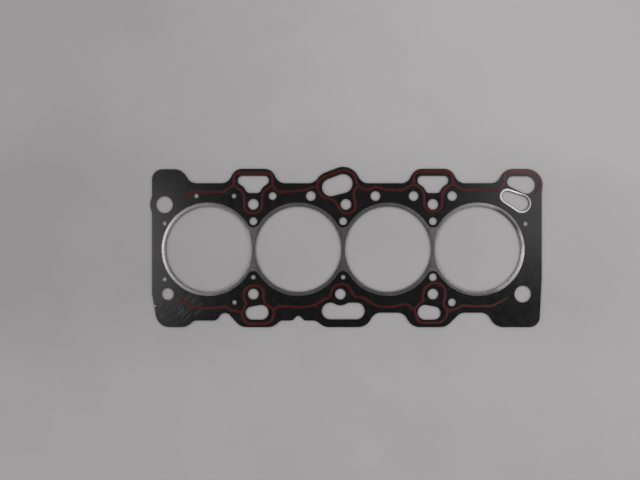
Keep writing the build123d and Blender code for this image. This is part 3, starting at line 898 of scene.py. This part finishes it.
def beadMesh(name, routes):
    section = beadSection()
    curve = bpy.data.curves.new(name + "Route", "CURVE")
    curve.dimensions = "2D"
    curve.bevel_mode = "OBJECT"
    curve.bevel_object = section
    curve.use_fill_caps = True
    curve.resolution_u = bead["resolution"]
    for closed, points in routes:
        points = steadied(points, closed)
        spline = curve.splines.new("BEZIER")
        spline.bezier_points.add(len(points) - 1)
        spline.use_cyclic_u = closed
        for (x, y, wide), point in zip(points, spline.bezier_points):
            point.co = (x / 1000, y / 1000, 0.0)
            point.handle_left_type = point.handle_right_type = "AUTO"
            point.radius = wide
    holder = bpy.data.objects.new(name + "Route", curve)
    bpy.context.scene.collection.objects.link(holder)
    bpy.context.view_layer.update()
    data = bpy.data.meshes.new_from_object(holder.evaluated_get(bpy.context.evaluated_depsgraph_get()))
    bpy.data.objects.remove(holder)
    bpy.data.objects.remove(section)
    mesh = bmesh.new()
    mesh.from_mesh(data)
    return mesh


def beadPiece(name, routes, node):
    mesh = beadMesh(name, routes)
    top = gasket["facingTop"] + bead["height"] / 1000
    base = gasket["facingTop"] - bead["sink"] / 1000
    for vert in mesh.verts:
        vert.co.z = min(base + vert.co.z, top)
    bmesh.ops.remove_doubles(mesh, verts=mesh.verts[:], dist=bead["joined"])
    bmesh.ops.recalc_face_normals(mesh, faces=mesh.faces[:])
    piece = makePiece(mesh, name, beadFinish)
    smoothShade(piece, bead["creaseAngle"])
    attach(piece, "root")
    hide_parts(node)


def beadMaterial():
    material, tree, shader, position = newMaterial("beadPrint", Specular_IOR_Level=0.25)
    feeds = {"Position": position, "Fibres": facing["fibres"], "Mottle": facing["mottle"]}
    grain = useGroup(tree, fibreGrain, feeds)
    place = axes(tree, position)
    # painted sheen: pinker towards the right, paler round the right ear
    colour = blend(tree, remap(tree, place["X"], *bead["sheenRoseX"]), bead["red"], bead["sheenRose"])
    pale = spotMask(tree, position, bead["sheenPlace"], bead["sheenReach"], bead["sheenCore"])
    colour = blend(tree, pale, colour, bead["pale"])
    uneven = remap(tree, noise(tree, position, bead["unevenScale"], detail=2.0), *bead["unevenEdge"])
    colour = tint(tree, colour, uneven, bead["unevenShare"], bead["worn"])
    scuffs = remap(tree, noise(tree, position, bead["scuffScale"], roughness=0.6), *bead["scuffEdge"])
    colour = tint(tree, colour, scuffs, bead["scuffShare"], bead["thin"])
    worn = 0.0
    for centre, reach in bead["wornSpots"]:
        worn = calculate(tree, "MAXIMUM", worn, spotMask(tree, position, centre, reach, bead["wornCore"]))
    colour = tint(tree, colour, worn, bead["wornShare"], bead["worn"])
    thin = remap(tree, place["Z"], *(gasket["facingTop"] + rise for rise in bead["thinRise"]))
    colour = tint(tree, colour, thin, bead["thinShare"], bead["thin"])
    feed(tree, shader.inputs["Base Color"], colour)
    rough = remap(tree, grain["Shade"], 0.0, 1.0, *bead["rough"], smooth=False)
    feed(tree, shader.inputs["Roughness"], calculate(tree, "MULTIPLY_ADD", scuffs, bead["scuffRough"], rough))
    height = calculate(tree, "MULTIPLY_ADD", scuffs, -bead["scuffDepth"], grain["Height"])
    addBump(tree, shader, height, bead["bump"], bead["bumpDepth"])
    return material


beadFinish = beadMaterial()
beadPiece("farSideBead", farRoutes, "far_side_bead")
beadPiece("nearSideBead", nearRoutes, "near_side_bead")
print("sealing beads printed")


# studio: a floor, and a world that holds all the light
studioFloor = {
    "size": 8.0,
    "cells": 4,
    "low": (0.302, 0.292, 0.295, 1.0),
    "high": (0.440, 0.424, 0.430, 1.0),
    "rough": 0.9,
    "shine": 0.2,
    # painted light: the floor is painted lighter to the far right, and towards both long sides, for light that
    # falls unevenly
    "leanY": 3.0,
    "climbY": 0.4,
    "climb": (-0.35, 0.45),
    "climbLevels": (-0.05, 0.95),
    "edgeY": (0.04, 0.15),
    "edgeGain": 0.27,
    "cloudScale": 9.0,
    "cloudEdge": (0.3, 0.7),
    "cloudGain": (-0.07, 0.07),
    # further off it is even
    "evenFrom": (0.9, 0.3),
    "evenLevel": 0.6,
}

studio = {
    "backdrop": (0.400, 0.392, 0.392, 1.0),
    "ceiling": 0.105,  # the dim patch straight above
    "ceilingClimb": 0.16,  # it is a little brighter towards the far side
    "walls": 1.68,
    "ring": (0.43, 0.58),  # where the walls' light starts and is full, as sines from straight up
    "sideShares": (0.6, 1.4),
    "panels": (
        {"x": (-0.25, -0.295), "middleY": -0.022, "y": (0.19, 0.04), "share": 1.28},
        {"x": (0.24, 0.40), "middleY": 0.205, "y": (0.295, 0.185), "share": 0.95},
    ),
    "horizon": 0.2,  # share of the walls' light that is left low down
    "horizonZ": (0.15, 0.85),
}


def makeFloor():
    cells = studioFloor["cells"]
    mesh = bmesh.new()
    bmesh.ops.create_grid(mesh, x_segments=cells, y_segments=cells, size=studioFloor["size"] / 2)
    material, tree, shader, position = newMaterial(
        "paleFloor", Roughness=studioFloor["rough"], Specular_IOR_Level=studioFloor["shine"],
    )
    place = axes(tree, position)
    # painted light: a gradient across the floor that stands in for uneven light
    lean = calculate(tree, "MULTIPLY_ADD", place["Y"], studioFloor["leanY"], 1.0)
    leaning = calculate(tree, "MULTIPLY", place["X"], lean)
    climb = calculate(tree, "MULTIPLY_ADD", place["Y"], studioFloor["climbY"], leaning)
    level = remap(tree, climb, *studioFloor["climb"], *studioFloor["climbLevels"], smooth=False)
    offMiddle = calculate(tree, "ABSOLUTE", place["Y"])
    edges = remap(tree, offMiddle, *studioFloor["edgeY"], 0.0, studioFloor["edgeGain"])
    level = calculate(tree, "ADD", level, edges)
    cloud = noise(tree, position, studioFloor["cloudScale"], roughness=0.6)
    cloud = remap(tree, cloud, *studioFloor["cloudEdge"], *studioFloor["cloudGain"])
    level = calculate(tree, "ADD", level, cloud, clamp=True)
    near = remap(tree, calculateVector(tree, "LENGTH", position), *studioFloor["evenFrom"])
    even = studioFloor["evenLevel"]
    level = calculate(tree, "MULTIPLY_ADD", calculate(tree, "SUBTRACT", level, even), near, even)
    colour = blend(tree, level, studioFloor["low"], studioFloor["high"])
    feed(tree, shader.inputs["Base Color"], colour)
    floor = makePiece(mesh, "studioFloor", material)


def makeWorld():
    world = bpy.data.worlds.new("softStudio")
    bpy.context.scene.world = world
    world.use_nodes = True
    tree = world.node_tree
    background = tree.nodes["Background"]
    direction = addNode(tree, "TexCoord").outputs["Generated"]
    place = axes(tree, direction)
    flat = calculateVector(tree, "MULTIPLY", direction, (1.0, 1.0, 0.0))
    lit = remap(tree, calculateVector(tree, "LENGTH", flat), *studio["ring"])
    # the walls at the two ends are brighter than those at the long sides
    side = axes(tree, calculateVector(tree, "NORMALIZE", flat))["X"]
    sides = calculate(tree, "MULTIPLY", side, side)
    sides = remap(tree, sides, 0.0, 1.0, *studio["sideShares"], smooth=False)
    lit = calculate(tree, "MULTIPLY", lit, sides)
    for panel in studio["panels"]:
        across = remap(tree, place["X"], *panel["x"])
        offCentre = calculate(tree, "ABSOLUTE", calculate(tree, "SUBTRACT", place["Y"], panel["middleY"]))
        share = calculate(tree, "MULTIPLY", across, remap(tree, offCentre, *panel["y"], 0.0, panel["share"]))
        lit = calculate(tree, "MAXIMUM", lit, share)
    dim = calculate(tree, "MULTIPLY_ADD", place["Y"], studio["ceilingClimb"], studio["ceiling"])
    dim = calculate(tree, "MAXIMUM", dim, 0.0)
    level = calculate(tree, "MULTIPLY_ADD", lit, studio["walls"] - studio["ceiling"], dim)
    fall = remap(tree, place["Z"], *studio["horizonZ"], studio["horizon"], 1.0)
    level = calculate(tree, "MULTIPLY", level, fall)
    light = addNode(tree, "CombineColor", {0: level, 1: level, 2: level}).outputs[0]
    seen = addNode(tree, "LightPath").outputs["Is Camera Ray"]
    feed(tree, background.inputs["Color"], blend(tree, seen, light, studio["backdrop"]))


camera = {
    "above": (-0.02395, 0.00957),
    "distance": 0.53,
    "frameWidth": 0.662,
    "sensor": 36.0,
    "clip": (0.01, 50.0),
}


def makeCamera():
    data = bpy.data.cameras.new("studioCamera")
    data.sensor_width = camera["sensor"]
    data.lens = camera["sensor"] * camera["distance"] / camera["frameWidth"]
    data.clip_start, data.clip_end = camera["clip"]
    holder = bpy.data.objects.new("studioCamera", data)
    holder.location = (*camera["above"], gasket["thickness"] + camera["distance"])
    bpy.context.scene.collection.objects.link(holder)
    bpy.context.scene.camera = holder


makeFloor()
makeWorld()
makeCamera()
bpy.context.scene.view_settings.view_transform = "Standard"
print("studio set")
